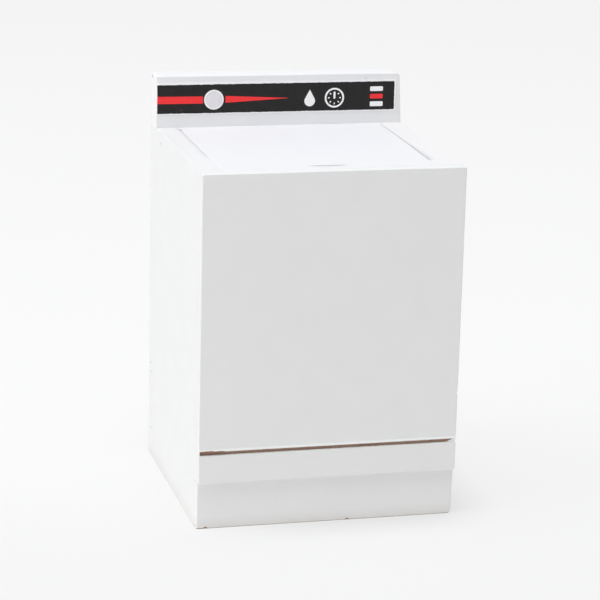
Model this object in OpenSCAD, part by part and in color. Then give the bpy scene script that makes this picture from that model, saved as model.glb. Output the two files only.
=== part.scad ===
// Toy washing machine: a 1:12 dolls'-house top loader made of painted MDF boards, with a lid that
// turns on two wire pins, a printed control strip, and a moulded tub with its agitator.
// Origin: centre of the underside. +X is the machine's right as seen from the front, +Y its back.

/* [Cabinet] */
// Width across the front
body_w = 57; // [50:0.5:66]
// Depth from the front face to the back face
body_d = 55.6; // [54:0.2:64]
// Height of the cabinet's top
body_h = 77.6; // [70:0.2:90]
// Thickness of a side board
side_t = 4.8; // [4:0.1:5.5]
// Thickness of the back board
back_t = 3.2; // [2.4:0.1:4.2]
// Thickness of the base board
base_t = 3.2; // [2.4:0.1:5]
// Radius that the paint leaves on an outer edge
arris = 0.4; // [0.1:0.05:0.6]

/* [Front] */
// Thickness of the front board and of the strip below it
front_t = 3.5; // [2.8:0.1:4.2]
// Height of the plinth board
plinth_h = 10.5; // [8:0.1:14]
// How far the plinth board stands back from the front face
plinth_recess = 1.35; // [0.5:0.05:2]
// Height of the strip between plinth and joint
strip_h = 6.4; // [4:0.1:10]
// Open joint between the strip and the front board
joint_gap = 0.7; // [0.3:0.05:1.2]

/* [Backsplash] */
// Height of the backsplash above the top
splash_h = 11.6; // [10.5:0.1:16]
// Thickness of the backsplash
splash_t = 5.8; // [4.5:0.1:6.5]
// Height of the control strip
label_h = 6.4; // [4:0.1:6.8]
// Height of the strip's lower edge above the top
label_rise = 3.15; // [2:0.05:3.6]
// Distance from the strip's left end to the end of the backsplash
label_left = 0.4; // [0.4:0.1:3]
// Distance from the strip's right end to the end of the backsplash
label_right = 1.5; // [0.6:0.1:3]
// Thickness of the printed strip
label_t = 0.15; // [0.1:0.05:0.3]

/* [Lid] */
// Thickness of the lid
lid_t = 4.7; // [4.5:0.05:4.8]
// Gap on each side of the lid
lid_side_gap = 0.35; // [0.2:0.05:0.6]
// Gap in front of the lid
lid_front_gap = 0.3; // [0.15:0.05:0.6]
// Gap behind the lid
lid_rear_gap = 0.3; // [0.2:0.05:0.6]
// Easing of the lid's edges
lid_arris = 0.2; // [0.1:0.05:0.4]
// Rounding of the lid's upper rear edge, which swings past the rail
lid_heel_r = 0.6; // [0.5:0.05:0.9]

/* [Top rails] */
// Thickness of the rails before and behind the lid
rail_t = 4.8; // [4.8:0.1:5.5]
// Depth of the front rail
front_rail_d = 2.55; // [2.4:0.05:4]
// Width of the finger notch at the rail's edge
notch_w = 8.7; // [6:0.1:14]
// Depth of the finger notch
notch_d = 1.8; // [1.2:0.05:2.1]
// Distance of the notch's middle from the machine's middle
notch_x = -0.6; // [-6:0.1:6]
// Depth of the strip of top that shows between lid and backsplash
rear_strip_d = 2.2; // [1.8:0.1:3.2]
// Angle at which the rear rail's front edge is planed under
rail_bevel = 20; // [18:1:28]

/* [Hinge] */
// Radius of the wire pins
pin_r = 0.4; // [0.3:0.05:0.6]
// Distance of the pins' axis below the top
pin_drop = 2.5; // [2.3:0.05:2.7]
// Distance of the pins' axis from the lid's rear edge
pin_inset = 2.5; // [2.3:0.05:2.8]
// How far a pin reaches into the lid
pin_reach = 6; // [4:0.1:9]
// Depth of a pin's end below the outer face of its side board
pin_sunk = 0.3; // [0:0.05:0.6]
// Radial play of the lid on its pins
pin_play = 0.05; // [0.02:0.01:0.09]

/* [Deck] */
// Distance of the deck's upper face below the top
deck_drop = 7.5; // [7.3:0.1:9]
// Thickness of the deck
deck_t = 3.2; // [2.4:0.1:4]
// How far the rest strip reaches under the lid
rest_lap = 2; // [1:0.1:3]
// Width and height of a cleat
cleat = 4; // [3:0.1:4.4]

/* [Tub] */
// Outer radius of the tub's wall
tub_r = 17; // [15:0.1:17.4]
// Thickness of the tub's wall
tub_wall = 0.9; // [0.6:0.05:1.4]
// Thickness of the tub's floor
tub_floor = 1.1; // [0.8:0.05:2]
// Distance from the deck's upper face down to the tub's underside
tub_depth = 44; // [38:0.5:50]
// Outer radius between the tub's wall and floor
tub_corner = 3; // [1.6:0.1:5]
// How far the rim reaches past the wall
rim_w = 1.4; // [0.9:0.1:1.8]
// Thickness of the rim
rim_t = 1; // [0.7:0.05:1.3]
// Gap around the tub in the deck's hole
hole_gap = 0.3; // [0.1:0.05:0.6]
// Gap between the rim and the rest strip
rim_gap = 0.3; // [0.2:0.05:1]
// Radius of the boss on the floor
boss_r = 3; // [2.4:0.1:4]
// Height of the boss on the floor
boss_h = 2; // [1.5:0.1:3]

/* [Agitator] */
// Radius of the agitator's skirt
skirt_r = 10; // [8.5:0.1:11.5]
// Thickness of the skirt's outer edge
skirt_lip = 1; // [0.6:0.05:1.6]
// Radius of the post at its foot
post_foot_r = 3.4; // [3:0.1:4.2]
// Radius of the post under its cap
post_top_r = 2.5; // [2:0.1:3]
// Height of the agitator up to the foot of its cap
post_h = 31; // [24:0.5:32]
// Radius of the cap
cap_r = 3.2; // [3:0.1:4]
// Height of the cap
cap_h = 2.4; // [1.6:0.1:3]
// Number of fins
fin_count = 4; // [3:1:6]
// Thickness of a fin
fin_t = 1; // [0.7:0.05:1.6]
// How far a fin reaches from the agitator's axis at its foot
fin_foot_r = 8.6; // [7:0.1:9]
// How far a fin reaches from the agitator's axis at its top
fin_top_r = 5; // [4.4:0.1:6]
// Distance from the fins' upper end to the foot of the cap
fin_drop = 3; // [1:0.1:6]
// Radius of the spigot that seats in the boss
spigot_r = 1.5; // [1:0.05:1.9]
// Length of the spigot
spigot_l = 1.8; // [1:0.1:2.4]
// Glue gap around the spigot
spigot_gap = 0.05; // [0.02:0.01:0.15]

/* [Hidden] */
$fn = 64;
cut = 1;            // how far a cutting body runs past what it cuts

// Across the machine
half_w = body_w / 2;
inner_x = half_w - side_t;
lid_x = inner_x - lid_side_gap;

// From front to back
front_y = -body_d / 2;
back_y = body_d / 2;
carcass_y = front_y + front_t;
plinth_y = front_y + plinth_recess;
back_in_y = back_y - back_t;
front_rail_y = carcass_y + front_rail_d;
splash_y = back_y - splash_t;
rear_rail_y = splash_y - rear_strip_d;
lid_front_y = front_rail_y + lid_front_gap;
lid_rear_y = rear_rail_y - lid_rear_gap;
pin_y = lid_rear_y - pin_inset;
rest_y = front_rail_y + rest_lap;

// Upwards
strip_z = plinth_h;
panel_z = plinth_h + strip_h + joint_gap;
deck_z = body_h - deck_drop;
pin_z = body_h - pin_drop;
splash_top_z = body_h + splash_h;

// Tub and agitator
rim_r = tub_r + rim_w;
tub_y = rest_y + rim_gap + rim_r;
tub_z = deck_z - tub_depth;
boss_z = tub_z + tub_floor + boss_h;
fin_h = post_h - fin_drop;
flare_r = skirt_r - post_foot_r;

// Easing radii of a section's four corners: [low-low, high-low, high-high, low-high]
square_edges = [0, 0, 0, 0];

side_panel_left();
side_panel_right();
front_panel();
lower_front_strip();
plinth_board();
back_panel();
base_board();
backsplash();
control_label();
front_top_rail();
rear_top_rail();
lid_rest_strip();
tub_deck();
deck_cleat_left();
deck_cleat_right();
tub();
agitator();
hinge_pin_left();
hinge_pin_right();
lid_board();

// ---- shapes that repeat ----

// What easing takes off the four corners of a w by h section, over a length
module corner_waste(w, h, radii, length) {
    corners = [[0, 0], [w, 0], [w, h], [0, h]];
    translate([0, 0, -cut])
        linear_extrude(length + 2 * cut)
            for (i = [0:3])
                if (radii[i] > 0)
                    translate(corners[i])
                        rotate(90 * i)
                            difference() {
                                translate([-cut, -cut])
                                    square(radii[i] + cut);
                                translate([radii[i], radii[i]])
                                    circle(radii[i]);
                            }
}

// A board between two opposite corners, with the edges that run along each axis eased
module board(low, high, along_x = square_edges, along_y = square_edges, along_z = square_edges) {
    size = high - low;
    translate(low)
        difference() {
            cube(size);
            rotate([90, 0, 90])
                corner_waste(size.y, size.z, along_x, size.x);
            translate([0, size.y, 0])
                rotate([90, 0, 0])
                    corner_waste(size.x, size.z, along_y, size.y);
            corner_waste(size.x, size.y, along_z, size.z);
        }
}

// A cylinder that runs along X from one place to another
module rod_x(from_x, to_x, y, z, r) {
    translate([from_x, y, z])
        rotate([0, 90, 0])
            cylinder(r = r, h = to_x - from_x);
}

// ---- cabinet ----

// The right side board, drilled for its pin
module side_board() {
    difference() {
        board([inner_x, carcass_y, 0], [half_w, back_y, body_h],
              along_y = [0, arris, arris, 0], along_z = [0, 0, arris, 0]);
        rod_x(inner_x - cut, half_w + cut, pin_y, pin_z, pin_r);
    }
}

module side_panel_left() {
    color("white")
        mirror([1, 0, 0])
            side_board();
}

module side_panel_right() {
    color("white")
        side_board();
}

module front_panel() {
    color("white")
        board([-half_w, front_y, panel_z], [half_w, carcass_y, body_h],
              along_x = [arris, 0, 0, arris], along_y = [arris, arris, arris, arris],
              along_z = [arris, arris, 0, 0]);
}

module lower_front_strip() {
    color("white")
        board([-half_w, front_y, strip_z], [half_w, carcass_y, strip_z + strip_h],
              along_x = [arris, 0, 0, arris], along_y = [arris, arris, arris, arris],
              along_z = [arris, arris, 0, 0]);
}

module plinth_board() {
    color("white")
        board([-half_w, plinth_y, 0], [half_w, carcass_y, plinth_h],
              along_x = [arris, 0, 0, 0], along_y = [arris, arris, 0, 0],
              along_z = [arris, arris, 0, 0]);
}

module back_panel() {
    color("white")
        board([-inner_x, back_in_y, 0], [inner_x, back_y, body_h]);
}

module base_board() {
    color("tan")
        board([-inner_x, carcass_y, 0], [inner_x, back_in_y, base_t]);
}

// ---- backsplash ----

module backsplash() {
    color("white")
        board([-half_w, splash_y, body_h], [half_w, back_y, splash_top_z],
              along_x = [0, 0, arris, arris], along_y = [0, 0, arris, arris],
              along_z = [arris, arris, arris, arris]);
}

module control_label() {
    color("black")
        board([label_left - half_w, splash_y - label_t, body_h + label_rise],
              [half_w - label_right, splash_y, body_h + label_rise + label_h]);
}

// ---- top ----

// The rail before the lid, with a scooped notch for a fingernail
module front_top_rail() {
    notch_r = (pow(notch_w / 2, 2) + pow(notch_d, 2)) / (2 * notch_d);
    color("white")
        difference() {
            board([-inner_x, carcass_y, body_h - rail_t], [inner_x, front_rail_y, body_h]);
            translate([notch_x, front_rail_y - notch_d + notch_r, body_h - rail_t - cut])
                cylinder(r = notch_r, h = rail_t + 2 * cut);
        }
}

// The rail behind the lid, planed under so that the lid's heel swings past a tight seam
module rear_top_rail() {
    under_y = rear_rail_y + rail_t * tan(rail_bevel);
    color("white")
        translate([-inner_x, 0, 0])
            rotate([90, 0, 90])
                linear_extrude(2 * inner_x)
                    polygon([
                        [rear_rail_y, body_h],
                        [under_y, body_h - rail_t],
                        [back_in_y, body_h - rail_t],
                        [back_in_y, body_h]
                    ]);
}

// The lid, bored from both ends for its pins
module lid_board() {
    bore_x = inner_x - pin_reach - cut;
    color("white")
        difference() {
            board([-lid_x, lid_front_y, body_h - lid_t], [lid_x, lid_rear_y, body_h],
                  along_x = [lid_arris, lid_arris, lid_heel_r, lid_arris],
                  along_y = [lid_arris, lid_arris, lid_arris, lid_arris],
                  along_z = [lid_arris, lid_arris, lid_arris, lid_arris]);
            rod_x(-lid_x - cut, -bore_x, pin_y, pin_z, pin_r + pin_play);
            rod_x(bore_x, lid_x + cut, pin_y, pin_z, pin_r + pin_play);
        }
}

module hinge_pin() {
    rod_x(inner_x - pin_reach, half_w - pin_sunk, pin_y, pin_z, pin_r);
}

module hinge_pin_left() {
    color("silver")
        mirror([1, 0, 0])
            hinge_pin();
}

module hinge_pin_right() {
    color("silver")
        hinge_pin();
}

// ---- inside ----

// Stands on the deck, carries the front rail, and stops the lid
module lid_rest_strip() {
    color("white")
        board([-inner_x, carcass_y, deck_z], [inner_x, rest_y, body_h - rail_t]);
}

module tub_deck() {
    color("white")
        difference() {
            board([-inner_x, carcass_y, deck_z - deck_t], [inner_x, back_in_y, deck_z]);
            translate([0, tub_y, deck_z - deck_t - cut])
                cylinder(r = tub_r + hole_gap, h = deck_t + 2 * cut);
        }
}

module deck_cleat() {
    board([inner_x - cleat, carcass_y, deck_z - deck_t - cleat], [inner_x, back_in_y, deck_z - deck_t]);
}

module deck_cleat_left() {
    color("tan")
        mirror([1, 0, 0])
            deck_cleat();
}

module deck_cleat_right() {
    color("tan")
        deck_cleat();
}

// A section that starts on the axis, with its lower and upper outer corners rounded
module turned_section(r, h, lower_r, upper_r) {
    difference() {
        square([r, h]);
        if (lower_r > 0)
            translate([r, 0])
                corner_off(lower_r);
        if (upper_r > 0)
            translate([r, h])
                mirror([0, 1])
                    corner_off(upper_r);
    }
}

// What rounding takes off a corner that points right and down
module corner_off(r) {
    difference() {
        translate([-r, -cut])
            square([r + cut, r + cut]);
        translate([-r, r])
            circle(r);
    }
}

// A moulded cup that hangs by its rim, with a socket on its floor
module tub() {
    inner_r = tub_r - tub_wall;
    color("whitesmoke")
        translate([0, tub_y, tub_z])
            rotate_extrude() {
                difference() {
                    union() {
                        turned_section(tub_r, tub_depth, tub_corner, 0);
                        translate([0, tub_depth])
                            turned_section(rim_r, rim_t, 0, rim_t / 2);
                    }
                    translate([0, tub_floor])
                        turned_section(inner_r, tub_depth + rim_t, tub_corner - tub_wall, 0);
                }
                translate([spigot_r + spigot_gap, tub_floor / 2])
                    square([boss_r - spigot_r - spigot_gap, boss_h + tub_floor / 2]);
            }
}

// The flared skirt, the tapered post and its domed cap, turned as one
module agitator_core() {
    skirt_h = skirt_lip + flare_r;
    rotate_extrude() {
        difference() {
            square([skirt_r, skirt_h]);
            translate([skirt_r, skirt_h])
                circle(flare_r);
        }
        polygon([
            [0, skirt_lip],
            [post_foot_r, skirt_h],
            [post_top_r, post_h],
            [0, post_h]
        ]);
        translate([0, post_h])
            turned_section(cap_r, cap_h, 0, cap_h * 0.8);
    }
}

// One fin, standing out along +X, its outer edge drawn in by a long arc
module agitator_fin() {
    foot_w = fin_foot_r - fin_top_r;
    sweep_r = (pow(foot_w, 2) + pow(fin_h, 2)) / (2 * foot_w);
    translate([0, fin_t / 2, 0])
        rotate([90, 0, 0])
            linear_extrude(fin_t)
                difference() {
                    translate([0, skirt_lip / 2])
                        square([fin_foot_r, fin_h - skirt_lip / 2]);
                    translate([fin_top_r + sweep_r, fin_h])
                        circle(sweep_r, $fn = 256);
                    translate([fin_top_r, fin_h])
                        mirror([0, 1])
                            corner_off(fin_t);
                }
}

module agitator() {
    color("lightsteelblue")
        translate([0, tub_y, boss_z]) {
            agitator_core();
            for (i = [0:fin_count - 1])
                rotate(360 / fin_count * i)
                    agitator_fin();
            translate([0, 0, -spigot_l])
                cylinder(r = spigot_r, h = spigot_l + skirt_lip);
        }
}
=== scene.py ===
import math

import bpy
import numpy as np
from mathutils import Matrix, Vector, geometry, noise


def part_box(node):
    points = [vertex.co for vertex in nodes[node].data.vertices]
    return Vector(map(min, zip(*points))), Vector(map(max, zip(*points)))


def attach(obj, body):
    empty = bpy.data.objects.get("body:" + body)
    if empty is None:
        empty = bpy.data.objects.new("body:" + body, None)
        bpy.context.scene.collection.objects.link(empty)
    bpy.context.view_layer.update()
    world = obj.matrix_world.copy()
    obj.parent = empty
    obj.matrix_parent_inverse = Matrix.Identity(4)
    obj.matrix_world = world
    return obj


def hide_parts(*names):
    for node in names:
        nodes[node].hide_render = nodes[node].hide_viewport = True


# A 1:12 dolls'-house washing machine. The boards are cut from MDF, glued and painted white by hand,
# so this script gives them rubbed arrises, paint that has run into the joints, and bare edges.
# The sizes of pieces are in millimetres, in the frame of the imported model, and become metres in add_piece().
# The patterns of materials, the floor and the lamps are in metres.

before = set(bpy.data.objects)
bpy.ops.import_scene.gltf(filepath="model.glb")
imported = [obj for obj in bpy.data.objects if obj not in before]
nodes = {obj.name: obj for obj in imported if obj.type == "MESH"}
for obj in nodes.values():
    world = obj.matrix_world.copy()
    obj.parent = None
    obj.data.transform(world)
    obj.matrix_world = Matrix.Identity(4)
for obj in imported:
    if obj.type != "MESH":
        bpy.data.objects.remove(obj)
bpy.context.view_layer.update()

MM = 0.001


def corners(node):
    """Lowest and highest corner of a node, in millimetres."""
    low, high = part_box(node)
    return np.array(low) * 1000, np.array(high) * 1000


# ---------------------------------------------------------------- numbers that pieces share

side_low, side_high = corners("side_panel_right")
front_low, front_high = corners("front_panel")
strip_low, strip_high = corners("lower_front_strip")
plinth_low, plinth_high = corners("plinth_board")
splash_low, splash_high = corners("backsplash")
label_high = corners("control_label")[1]
rail_low, rail_high = corners("front_top_rail")
lid_low, lid_high = corners("lid_board")
pin_low, pin_high = corners("hinge_pin_right")

TOP = side_high[2]
PIN_Y, PIN_Z = (pin_low[1] + pin_high[1]) / 2, (pin_low[2] + pin_high[2]) / 2
PIN_R = (pin_high[2] - pin_low[2]) / 2
INNER_X = side_low[0]

ARRIS = 0.24           # rounding that sandpaper and paint leave on an outer edge
PAINT = 0.035          # most that the paint's surface sinks below the board's size
# A bore's mouth, where the drill has torn it: shares of its radius, each with how deep it lies
BORE_MOUTH = ((1.18, 0), (1.04, 0.05), (1, 0.13))


# ---------------------------------------------------------------- surfaces in numbers

def grain(points, size, seed=0.0):
    """Smooth noise from about -1 to 1, with bumps of this size in millimetres."""
    shift = Vector((seed * 17.3, seed * -9.1, seed * 5.7))
    scaled = points / size
    return np.array([noise.noise(Vector(p) + shift) for p in scaled])


def smooth_step(value, start, end):
    """0 before the start, 1 past the end, and a smooth rise between them."""
    t = np.clip((value - start) / (end - start), 0, 1)
    return t * t * (3 - 2 * t)


def cut_lines(low, high, ease_low, ease_high, step, close=()):
    """Grid lines from low to high: fanned over each eased edge, a step apart between, closer where told."""
    fan = [math.tan(math.radians(a)) for a in (45, 33.75, 22.5, 11.25, 0)]
    start = [low + ease_low * (1 - f) for f in fan] if ease_low > 0 else [low]
    end = [high - ease_high * (1 - f) for f in fan] if ease_high > 0 else [high]
    middle = list(np.linspace(start[-1], end[-1], max(2, round((end[-1] - start[-1]) / step) + 1)))
    for a, b, near in close:
        middle = [m for m in middle if not a - 0.4 * near < m < b + 0.4 * near]
        middle += list(np.linspace(a, b, max(2, round((b - a) / near) + 1)))
    inside = [m for m in middle if start[-1] < m < end[-1]]
    lines = sorted(set(np.round(start + inside + end, 5)))
    return [float(x) for x in lines]


def shell(lines, holes=()):
    """Points and faces of a closed box cut along these lines.

    A hole is (end, y, z, radius, depth): a blind bore in the side that faces -X (0) or +X (1)."""
    index, points, faces = {}, [], []
    last = [len(a) - 1 for a in lines]

    def corner(*key):
        if key not in index:
            index[key] = len(points)
            points.append([lines[n][key[n]] for n in range(3)])
        return index[key]

    def span(axis, middle, reach):
        near = [n for n, at in enumerate(lines[axis]) if abs(at - middle) <= reach + 1e-4]
        return near[0], near[-1]

    bored = {}
    for end, y, z, radius, depth in holes:
        bored[end] = (span(1, y, 2 * radius), span(2, z, 2 * radius))
    for axis in range(3):
        u, v = (axis + 1) % 3, (axis + 2) % 3
        for end in (0, 1):
            for a in range(last[u]):
                for b in range(last[v]):
                    if axis == 0 and end in bored:
                        (j0, j1), (k0, k1) = bored[end]
                        if j0 <= a < j1 and k0 <= b < k1:
                            continue
                    ring = []
                    for da, db in ((0, 0), (1, 0), (1, 1), (0, 1)):
                        key = [0, 0, 0]
                        key[axis], key[u], key[v] = end * last[axis], a + da, b + db
                        ring.append(corner(*key))
                    faces.append(ring if end else ring[::-1])
    for end, y, z, radius, depth in holes:
        (j0, j1), (k0, k1) = bored[end]
        i = end * last[0]
        edge = [(i, j, k0) for j in range(j0, j1)] + [(i, j1, k) for k in range(k0, k1)]
        edge += [(i, j, k1) for j in range(j1, j0, -1)] + [(i, j0, k) for k in range(k1, k0, -1)]
        ring = [corner(*key) for key in edge]
        turn = [math.atan2(points[n][2] - z, points[n][1] - y) for n in ring]
        inward = -1 if end else 1
        for share, sunk in BORE_MOUTH + ((1, depth),):
            r, deeper = share * radius, []
            for t in turn:
                deeper.append(len(points))
                points.append([lines[0][i] + inward * sunk, y + r * math.cos(t), z + r * math.sin(t)])
            for n in range(len(ring)):
                m = (n + 1) % len(ring)
                quad = [ring[n], ring[m], deeper[m], deeper[n]]
                faces.append(quad if end else quad[::-1])
            ring = deeper
        faces.append(ring if end else ring[::-1])
    return np.array(points), faces


def eased(points, low, high, ease_low, ease_high):
    """Rounds the edges between sides that both have an ease. An ease is a number or one for each point."""
    near, far = [], []
    for n in range(3):
        near.append(np.broadcast_to(ease_low[n], len(points)))
        far.append(np.broadcast_to(ease_high[n], len(points)))
    near, far = np.stack(near, 1), np.stack(far, 1)
    kept = np.minimum(np.maximum(points, low + near), high - far)
    out = points - kept
    reach = np.where(out < 0, near, far)
    share = np.where(reach > 1e-9, out / np.maximum(reach, 1e-9), 0)
    length = np.linalg.norm(share, axis=1)
    length[length < 1e-9] = 1
    return kept + reach * share / length[:, None]


def outward(points, faces):
    """A unit normal for each point."""
    first = np.array([face[:3] for face in faces])
    a, b, c = points[first[:, 0]], points[first[:, 1]], points[first[:, 2]]
    flat = np.cross(b - a, c - a)
    flat /= np.maximum(np.linalg.norm(flat, axis=1), 1e-12)[:, None]
    normals = np.zeros_like(points)
    np.add.at(normals, np.concatenate(faces), np.repeat(flat, [len(face) for face in faces], axis=0))
    return normals / np.maximum(np.linalg.norm(normals, axis=1), 1e-12)[:, None]


# ---------------------------------------------------------------- materials

def linear(code):
    """An sRGB hex colour as linear red, green, blue and alpha."""
    parts = [int(code[n:n + 2], 16) / 255 for n in (1, 3, 5)]
    return tuple(p / 12.92 if p <= 0.04045 else ((p + 0.055) / 1.055) ** 2.4 for p in parts) + (1.0,)


def add(tree, kind, settings=None, links=None):
    """Adds a node with its settings, by socket or by property, and the links into it."""
    node = tree.nodes.new(kind)
    for name, value in (settings or {}).items():
        if isinstance(name, int) or name in node.inputs:
            node.inputs[name].default_value = value
        else:
            setattr(node, name, value)
    for name, source in (links or {}).items():
        tree.links.new(source, node.inputs[name])
    return node


def new_material(name):
    """A material with nothing in it but its output."""
    made = bpy.data.materials.new(name)
    made.use_nodes = True
    made.node_tree.nodes.clear()
    return made, made.node_tree, add(made.node_tree, "ShaderNodeOutputMaterial")


def satin_paint(name, colour, tired, bare=True):
    """Satin acrylic, brushed over sanded MDF: soft sheen, long shallow swells and a fine nap under the paint.

    Where the attribute paint_edge is above 0 mm the board is bare, with a ragged edge to the paint.
    The shade attribute, where a piece has it, says how much the paint is greyed as painted shade, where shade
    falls into seams and the finger notch."""
    made, tree, output = new_material(name)
    place = add(tree, "ShaderNodeTexCoord").outputs["Object"]
    # Swells about 7 mm long, left by the brush; they darken the colour by 3 or 4 steps of 255 at most
    swell = add(tree, "ShaderNodeTexNoise", {"Scale": 1 / 0.007, "Detail": 2.0, "Roughness": 0.5},
                {"Vector": place})
    # The nap is the MDF's fibres, 0.35 mm across, raised by the first coat
    nap = add(tree, "ShaderNodeTexNoise", {"Scale": 1 / 0.00035, "Detail": 2.0, "Roughness": 0.6},
              {"Vector": place})
    white = add(tree, "ShaderNodeMix", {"data_type": "RGBA", 6: linear(colour), 7: linear(tired)},
                {0: swell.outputs["Fac"]})
    gloss = add(tree, "ShaderNodeMapRange", {1: 0.3, 2: 0.7, 3: 0.50, 4: 0.60}, {0: swell.outputs["Fac"]})
    low_bump = add(tree, "ShaderNodeBump", {"Strength": 1.0, "Distance": 0.00004},
                   {"Height": swell.outputs["Fac"]})
    bump = add(tree, "ShaderNodeBump", {"Strength": 1.0, "Distance": 0.000006},
               {"Height": nap.outputs["Fac"], "Normal": low_bump.outputs["Normal"]})
    # The lowest 3 mm are painted a little darker, as painted shade from the floor's contact shadow
    height = add(tree, "ShaderNodeSeparateXYZ", links={0: place})
    contact_shade = add(tree, "ShaderNodeMapRange",
               {1: 0.0, 2: 0.003, 3: 1.0, 4: 0.0, "interpolation_type": "SMOOTHSTEP"},
               {0: height.outputs["Z"]})
    contact_shaded = add(tree, "ShaderNodeMix", {"data_type": "RGBA", "blend_type": "MULTIPLY", 7: linear("#F9F8F6")},
                 {0: contact_shade.outputs[0], 6: white.outputs[2]})
    # Painted shade: grey laid over the paint wherever the piece's shade attribute says shade falls
    shade_mark = add(tree, "ShaderNodeAttribute", {"attribute_name": "painted_shade"})
    shaded = add(tree, "ShaderNodeMix", {"data_type": "RGBA", 7: linear("#B4B2B2")},
                 {0: shade_mark.outputs["Fac"], 6: contact_shaded.outputs[2]})
    tint, rough = shaded.outputs[2], gloss.outputs[0]
    if bare:
        mark = add(tree, "ShaderNodeAttribute", {"attribute_name": "paint_edge"})
        # The paint's edge strays by up to 0.17 mm either way, in tears of about 1.1 mm
        rag = add(tree, "ShaderNodeTexNoise", {"Scale": 1 / 0.0011, "Detail": 3.0, "Roughness": 0.62},
                  {"Vector": place})
        ragged = add(tree, "ShaderNodeMath", {"operation": "MULTIPLY_ADD", 1: 0.34, 2: -0.17},
                     {0: rag.outputs["Fac"]})
        edge = add(tree, "ShaderNodeMath", {"operation": "ADD"},
                   {0: mark.outputs["Fac"], 1: ragged.outputs[0]})
        shown = add(tree, "ShaderNodeMapRange",
                    {1: -0.03, 2: 0.03, 3: 0.0, 4: 1.0, "interpolation_type": "SMOOTHSTEP"},
                    {0: edge.outputs[0]})
        fibre = mdf_colour(tree, place)
        skin = add(tree, "ShaderNodeMix", {"data_type": "RGBA"},
                   {0: shown.outputs[0], 6: tint, 7: fibre})
        dull = add(tree, "ShaderNodeMix", {"data_type": "FLOAT", 3: 0.85}, {0: shown.outputs[0], 2: rough})
        tint, rough = skin.outputs[2], dull.outputs[0]
    shader = add(tree, "ShaderNodeBsdfPrincipled", {"IOR": 1.46},
                 {"Base Color": tint, "Roughness": rough, "Normal": bump.outputs["Normal"]})
    tree.links.new(shader.outputs[0], output.inputs[0])
    return made


def mdf_colour(tree, place, dark="#7A5E47", light="#B49674"):
    """Brown pressed fibre: a fine speckle of 0.25 mm fibres over broader cloudy patches of 2 mm."""
    speck = add(tree, "ShaderNodeTexNoise", {"Scale": 1 / 0.00025, "Detail": 3.0, "Roughness": 0.7},
                {"Vector": place})
    cloud = add(tree, "ShaderNodeTexNoise", {"Scale": 1 / 0.002, "Detail": 2.0}, {"Vector": place})
    both = add(tree, "ShaderNodeMath", {"operation": "MULTIPLY_ADD", 1: 0.35},
               {0: cloud.outputs["Fac"], 2: speck.outputs["Fac"]})
    ramp = add(tree, "ShaderNodeMapRange", {1: 0.45, 2: 0.95}, {0: both.outputs[0]})
    mixed = add(tree, "ShaderNodeMix", {"data_type": "RGBA", 6: linear(dark), 7: linear(light)},
                {0: ramp.outputs[0]})
    return mixed.outputs[2]


def sawn_mdf(name, dark, light):
    """MDF straight off the saw: matt, fibrous, without paint."""
    made, tree, output = new_material(name)
    place = add(tree, "ShaderNodeTexCoord").outputs["Object"]
    fur = add(tree, "ShaderNodeTexNoise", {"Scale": 1 / 0.0003, "Detail": 3.0, "Roughness": 0.7},
              {"Vector": place})
    bump = add(tree, "ShaderNodeBump", {"Strength": 1.0, "Distance": 0.00003}, {"Height": fur.outputs["Fac"]})
    shader = add(tree, "ShaderNodeBsdfPrincipled", {"Roughness": 0.88, "IOR": 1.4},
                 {"Base Color": mdf_colour(tree, place, dark, light), "Normal": bump.outputs["Normal"]})
    tree.links.new(shader.outputs[0], output.inputs[0])
    return made


def printed_card(name, colour, worn, rough):
    """Varnished card printed with flat ink: an even colour with the card's faint tooth in it."""
    made, tree, output = new_material(name)
    place = add(tree, "ShaderNodeTexCoord").outputs["Object"]
    # The card's tooth is about 0.2 mm, and patches 1.4 mm across mottle the ink very slightly
    tooth = add(tree, "ShaderNodeTexNoise", {"Scale": 1 / 0.0002, "Detail": 2.0}, {"Vector": place})
    patch = add(tree, "ShaderNodeTexNoise", {"Scale": 1 / 0.0014, "Detail": 3.0}, {"Vector": place})
    blend = add(tree, "ShaderNodeMapRange", {1: 0.35, 2: 0.75}, {0: patch.outputs["Fac"]})
    ink = add(tree, "ShaderNodeMix", {"data_type": "RGBA", 6: linear(colour), 7: linear(worn)},
              {0: blend.outputs[0]})
    bump = add(tree, "ShaderNodeBump", {"Strength": 1.0, "Distance": 0.000004},
               {"Height": tooth.outputs["Fac"]})
    shader = add(tree, "ShaderNodeBsdfPrincipled", {"Roughness": rough, "IOR": 1.42},
                 {"Base Color": ink.outputs[2], "Normal": bump.outputs["Normal"]})
    tree.links.new(shader.outputs[0], output.inputs[0])
    return made


def moulded_polystyrene(name, colour, shade):
    """Thin vacuum-formed or moulded polystyrene: glossy, with the faint flow marks of the mould."""
    made, tree, output = new_material(name)
    place = add(tree, "ShaderNodeTexCoord").outputs["Object"]
    flow = add(tree, "ShaderNodeTexNoise", {"Scale": 1 / 0.012, "Detail": 1.0}, {"Vector": place})
    tint = add(tree, "ShaderNodeMix", {"data_type": "RGBA", 6: linear(colour), 7: linear(shade)},
               {0: flow.outputs["Fac"]})
    gloss = add(tree, "ShaderNodeMapRange", {1: 0.3, 2: 0.7, 3: 0.26, 4: 0.32}, {0: flow.outputs["Fac"]})
    shader = add(tree, "ShaderNodeBsdfPrincipled", {"IOR": 1.59},
                 {"Base Color": tint.outputs[2], "Roughness": gloss.outputs[0]})
    tree.links.new(shader.outputs[0], output.inputs[0])
    return made


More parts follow.
